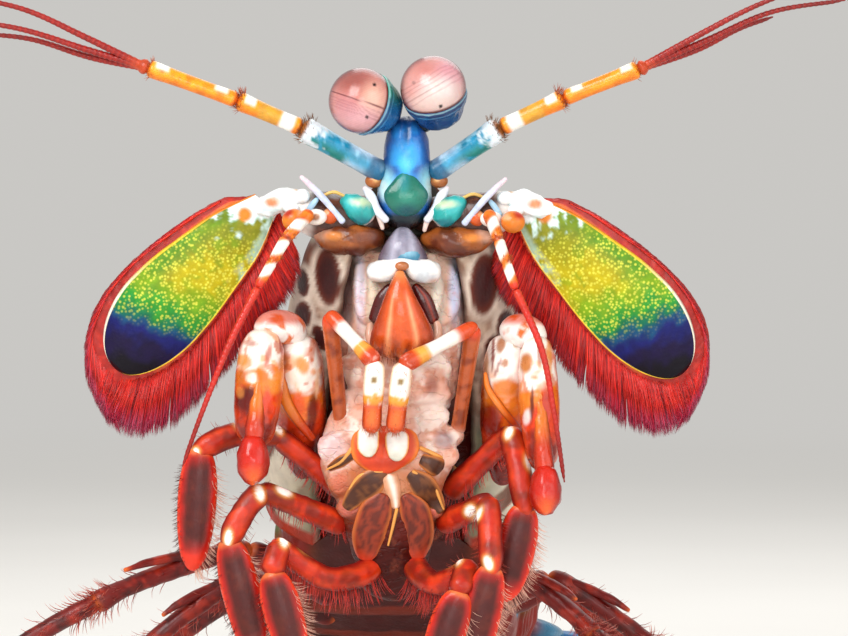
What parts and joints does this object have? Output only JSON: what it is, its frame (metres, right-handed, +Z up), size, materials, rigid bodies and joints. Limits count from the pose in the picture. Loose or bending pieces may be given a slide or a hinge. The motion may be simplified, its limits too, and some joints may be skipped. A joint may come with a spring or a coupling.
{
  "type": "mantis shrimp",
  "caption": "Reared mantis shrimp at life size, with stalked eyes, folded clubs, oval fringed antennal scales, a ringed body and a tail fan.",
  "frame": {"origin": "on the ground, under the middle of the whole animal's box", "axes": "+Z up; -Y the way the raised head faces, +Y towards the tail fan; +X on the right of someone who faces the animal"},
  "size_m": [0.0948, 0.1215, 0.0752],
  "materials": {
    "carapace_shell": "satin, white net and brown patches at the sides",
    "segment_shell": "satin, red rear margins",
    "flesh": "moist",
    "lip": "moist",
    "blue_shell": "satin",
    "teal_shell": "satin",
    "cornea": "polished, finely striped",
    "banded_stem": "satin, blue, orange and white bands",
    "whip": "satin",
    "antenna": "satin",
    "scale_blade": "satin, yellow to green to violet-black, red fringe",
    "claw": "satin, white and orange blotches",
    "red_limb": "satin",
    "swimming_leaf": "moist",
    "tail_fan": "satin, red fringe"
  },
  "bodies": {
    "root": {"carapace": "carapace_shell", "thorax_core": "flesh", "thorax_segment_6": "segment_shell", "thorax_segment_7": "segment_shell", "thorax_segment_8": "segment_shell", "abdomen_segment_1": "segment_shell", "abdomen_segment_2": "segment_shell", "abdomen_segment_3": "segment_shell", "abdomen_segment_4": "segment_shell", "abdomen_segment_5": "segment_shell", "abdomen_segment_6": "segment_shell", "telson": "segment_shell", "uropod_left": "tail_fan", "uropod_right": "tail_fan", "swimming_leg_1_left": "swimming_leaf", "swimming_leg_1_right": "swimming_leaf", "swimming_leg_2_left": "swimming_leaf", "swimming_leg_2_right": "swimming_leaf", "swimming_leg_3_left": "swimming_leaf", "swimming_leg_3_right": "swimming_leaf", "swimming_leg_4_left": "swimming_leaf", "swimming_leg_4_right": "swimming_leaf", "swimming_leg_5_left": "swimming_leaf", "swimming_leg_5_right": "swimming_leaf", "walking_leg_1_left": "red_limb", "walking_leg_2_left": "red_limb", "walking_leg_3_left": "red_limb", "walking_leg_1_right": "red_limb", "walking_leg_2_right": "red_limb", "walking_leg_3_right": "red_limb", "mouthparts": "lip", "breastplate": "flesh", "head_block": "blue_shell", "rostral_plate": "teal_shell", "eye_left": "cornea", "eyestalk_left": "blue_shell", "antennule_left": "banded_stem", "antennule_whips_left": "whip", "antenna_left": "antenna", "antennal_scale_left": "scale_blade", "maxilliped_1_left": "claw", "claw_arm_left": "claw", "claw_hand_left": "claw", "claw_club_left": "red_limb", "maxilliped_3_left": "red_limb", "maxilliped_4_left": "red_limb", "maxilliped_5_left": "red_limb", "eye_right": "cornea", "eyestalk_right": "blue_shell", "antennule_right": "banded_stem", "antennule_whips_right": "whip", "antenna_right": "antenna", "antennal_scale_right": "scale_blade", "maxilliped_1_right": "claw", "claw_arm_right": "claw", "claw_hand_right": "claw", "claw_club_right": "red_limb", "maxilliped_3_right": "red_limb", "maxilliped_4_right": "red_limb", "maxilliped_5_right": "red_limb"}
  },
  "joints": []
}
